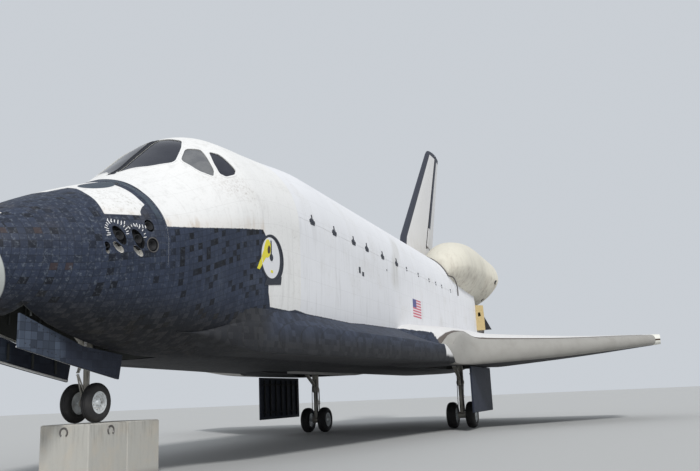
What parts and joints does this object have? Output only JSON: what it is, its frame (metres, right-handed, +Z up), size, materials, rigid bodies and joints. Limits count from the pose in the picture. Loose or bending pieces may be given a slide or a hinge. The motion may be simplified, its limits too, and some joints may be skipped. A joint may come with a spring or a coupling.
{
  "type": "space shuttle orbiter",
  "caption": "Full-size winged orbiter on its landing gear, nose wheels on concrete blocks, with opening payload bay doors, side hatch, elevons, body flap, rudder and engines.",
  "frame": {"origin": "on the ground below the middle of the craft's length, on its centre plane", "axes": "+X towards the tail, +Y to starboard, +Z up; the nose points along -X"},
  "size_m": [37.2236, 23.7916, 16.477],
  "materials": {
    "nose_carbon": "matte",
    "black_tile": "matte",
    "module_tile": "matte",
    "window_glass": "gloss",
    "forward_skin": "matte",
    "mid_skin": "matte",
    "aft_skin": "matte",
    "hatch_skin": "matte",
    "well_lining": "satin",
    "bay_liner": "matte",
    "bay_door": "matte",
    "engine_metal": "satin",
    "pod_blanket": "matte",
    "edge_carbon": "matte",
    "wing_blanket": "matte",
    "tail_blanket": "matte",
    "rudder_metal": "satin",
    "tyre_rubber": "matte",
    "wheel_metal": "satin",
    "gear_metal": "satin",
    "gear_door": "matte",
    "concrete": "matte"
  },
  "bodies": {
    "airframe": {"nose_cap": "nose_carbon", "forward_thruster_module": "module_tile", "windshield_forward_port": "window_glass", "windshield_forward_starboard": "window_glass", "windshield_middle_port": "window_glass", "windshield_middle_starboard": "window_glass", "windshield_side_port": "window_glass", "windshield_side_starboard": "window_glass", "nose_wheel_well": "well_lining", "forward_fuselage": "forward_skin", "mid_fuselage": "mid_skin", "payload_bay_liner": "bay_liner", "aft_bulkhead": "aft_skin", "aft_fuselage": "aft_skin", "base_section": "aft_skin", "main_engine_centre": "engine_metal", "main_engine_port": "engine_metal", "main_engine_starboard": "engine_metal", "manoeuvring_pod_starboard": "pod_blanket", "manoeuvring_pod_port": "pod_blanket", "manoeuvring_nozzle_starboard": "engine_metal", "manoeuvring_nozzle_port": "engine_metal", "wing_leading_edge_starboard": "edge_carbon", "wing_leading_edge_port": "edge_carbon", "wing_starboard": "wing_blanket", "wing_port": "wing_blanket", "vertical_tail": "tail_blanket", "nose_gear_leg": "gear_metal", "main_gear_leg_starboard": "gear_metal", "main_gear_leg_port": "gear_metal", "main_gear_door_starboard": "gear_door", "main_gear_door_port": "gear_door", "nose_gear_door_starboard": "gear_door", "nose_gear_door_port": "gear_door", "concrete_block_front": "concrete", "concrete_block_rear": "concrete"},
    "nose_fork": {"nose_gear_fork": "gear_metal"},
    "nose_wheels": {"nose_wheel_hubs": "wheel_metal", "nose_tyre_port": "tyre_rubber", "nose_tyre_starboard": "tyre_rubber"},
    "main_wheels_port": {"main_wheel_hubs_port": "wheel_metal", "main_tyre_inner_port": "tyre_rubber", "main_tyre_outer_port": "tyre_rubber"},
    "main_wheels_starboard": {"main_wheel_hubs_starboard": "wheel_metal", "main_tyre_inner_starboard": "tyre_rubber", "main_tyre_outer_starboard": "tyre_rubber"},
    "hatch": {"side_hatch": "hatch_skin"},
    "bay_door_port": {"payload_bay_door_port": "bay_door"},
    "bay_door_starboard": {"payload_bay_door_starboard": "bay_door"},
    "elevon_port_inboard": {"elevon_inboard_port": "black_tile"},
    "elevon_port_outboard": {"elevon_outboard_port": "black_tile"},
    "elevon_starboard_inboard": {"elevon_inboard_starboard": "black_tile"},
    "elevon_starboard_outboard": {"elevon_outboard_starboard": "black_tile"},
    "flap": {"body_flap": "black_tile"},
    "rudder": {"rudder_post": "rudder_metal"},
    "speed_brake_port": {"rudder_panel_port": "tail_blanket"},
    "speed_brake_starboard": {"rudder_panel_starboard": "tail_blanket"}
  },
  "joints": [
    {"name": "nose_steering", "type": "hinge", "parent": "airframe", "child": "nose_fork", "pos_m": [-15.01775, 0, 1.9812], "axis": [0, 0, 1], "range_deg": [-9, 9]},
    {"name": "nose_wheel_roll", "type": "hinge", "parent": "nose_fork", "child": "nose_wheels", "pos_m": [-15.01775, 0, 1.60274], "axis": [0, 1, 0], "continuous": true},
    {"name": "main_wheel_roll_port", "type": "hinge", "parent": "airframe", "child": "main_wheels_port", "pos_m": [5.14985, -3.4544, 0.5588], "axis": [0, 1, 0], "continuous": true},
    {"name": "main_wheel_roll_starboard", "type": "hinge", "parent": "airframe", "child": "main_wheels_starboard", "pos_m": [5.14985, 3.4544, 0.5588], "axis": [0, 1, 0], "continuous": true},
    {"name": "hatch_swing", "type": "hinge", "parent": "airframe", "child": "hatch", "pos_m": [-11.48969, -2.68224, 4.37642], "axis": [1, 0, 0], "range_deg": [0, 90]},
    {"name": "bay_door_swing_port", "type": "hinge", "parent": "airframe", "child": "bay_door_port", "pos_m": [-0.61595, -2.7051, 6.3627], "axis": [1, 0, 0], "range_deg": [0, 175.5]},
    {"name": "bay_door_swing_starboard", "type": "hinge", "parent": "airframe", "child": "bay_door_starboard", "pos_m": [-0.61595, 2.7051, 6.3627], "axis": [-1, 0, 0], "range_deg": [0, 175.5]},
    {"name": "elevon_tilt_port_inboard", "type": "hinge", "parent": "airframe", "child": "elevon_port_inboard", "pos_m": [10.63625, -5.07052, 3.17525], "axis": [0, 0.9981, -0.061], "range_deg": [-35, 20]},
    {"name": "elevon_tilt_port_outboard", "type": "hinge", "parent": "airframe", "child": "elevon_port_outboard", "pos_m": [10.63625, -5.07052, 3.17525], "axis": [0, 0.9981, -0.061], "range_deg": [-35, 20]},
    {"name": "elevon_tilt_starboard_inboard", "type": "hinge", "parent": "airframe", "child": "elevon_starboard_inboard", "pos_m": [10.63625, 5.07052, 3.17525], "axis": [0, 0.9981, 0.061], "range_deg": [-35, 20]},
    {"name": "elevon_tilt_starboard_outboard", "type": "hinge", "parent": "airframe", "child": "elevon_starboard_outboard", "pos_m": [10.63625, 5.07052, 3.17525], "axis": [0, 0.9981, 0.061], "range_deg": [-35, 20]},
    {"name": "flap_tilt", "type": "hinge", "parent": "airframe", "child": "flap", "pos_m": [14.31925, 0, 3.048], "axis": [0, 1, 0], "range_deg": [-11.7, 22.5]},
    {"name": "rudder_turn", "type": "hinge", "parent": "airframe", "child": "rudder", "pos_m": [14.02818, 0, 10.9982], "axis": [0.5365, 0, 0.8439], "range_deg": [-27.1, 27.1]},
    {"name": "speed_brake_open_port", "type": "hinge", "parent": "rudder", "child": "speed_brake_port", "pos_m": [14.02818, 0, 10.9982], "axis": [-0.5365, 0, -0.8439], "range_deg": [0, 49.3]},
    {"name": "speed_brake_open_starboard", "type": "hinge", "parent": "rudder", "child": "speed_brake_starboard", "pos_m": [14.02818, 0, 10.9982], "axis": [0.5365, 0, 0.8439], "range_deg": [0, 49.3]}
  ],
  "couplings": [
    {"joint": "speed_brake_open_starboard", "follows": "speed_brake_open_port", "ratio": 1}
  ]
}
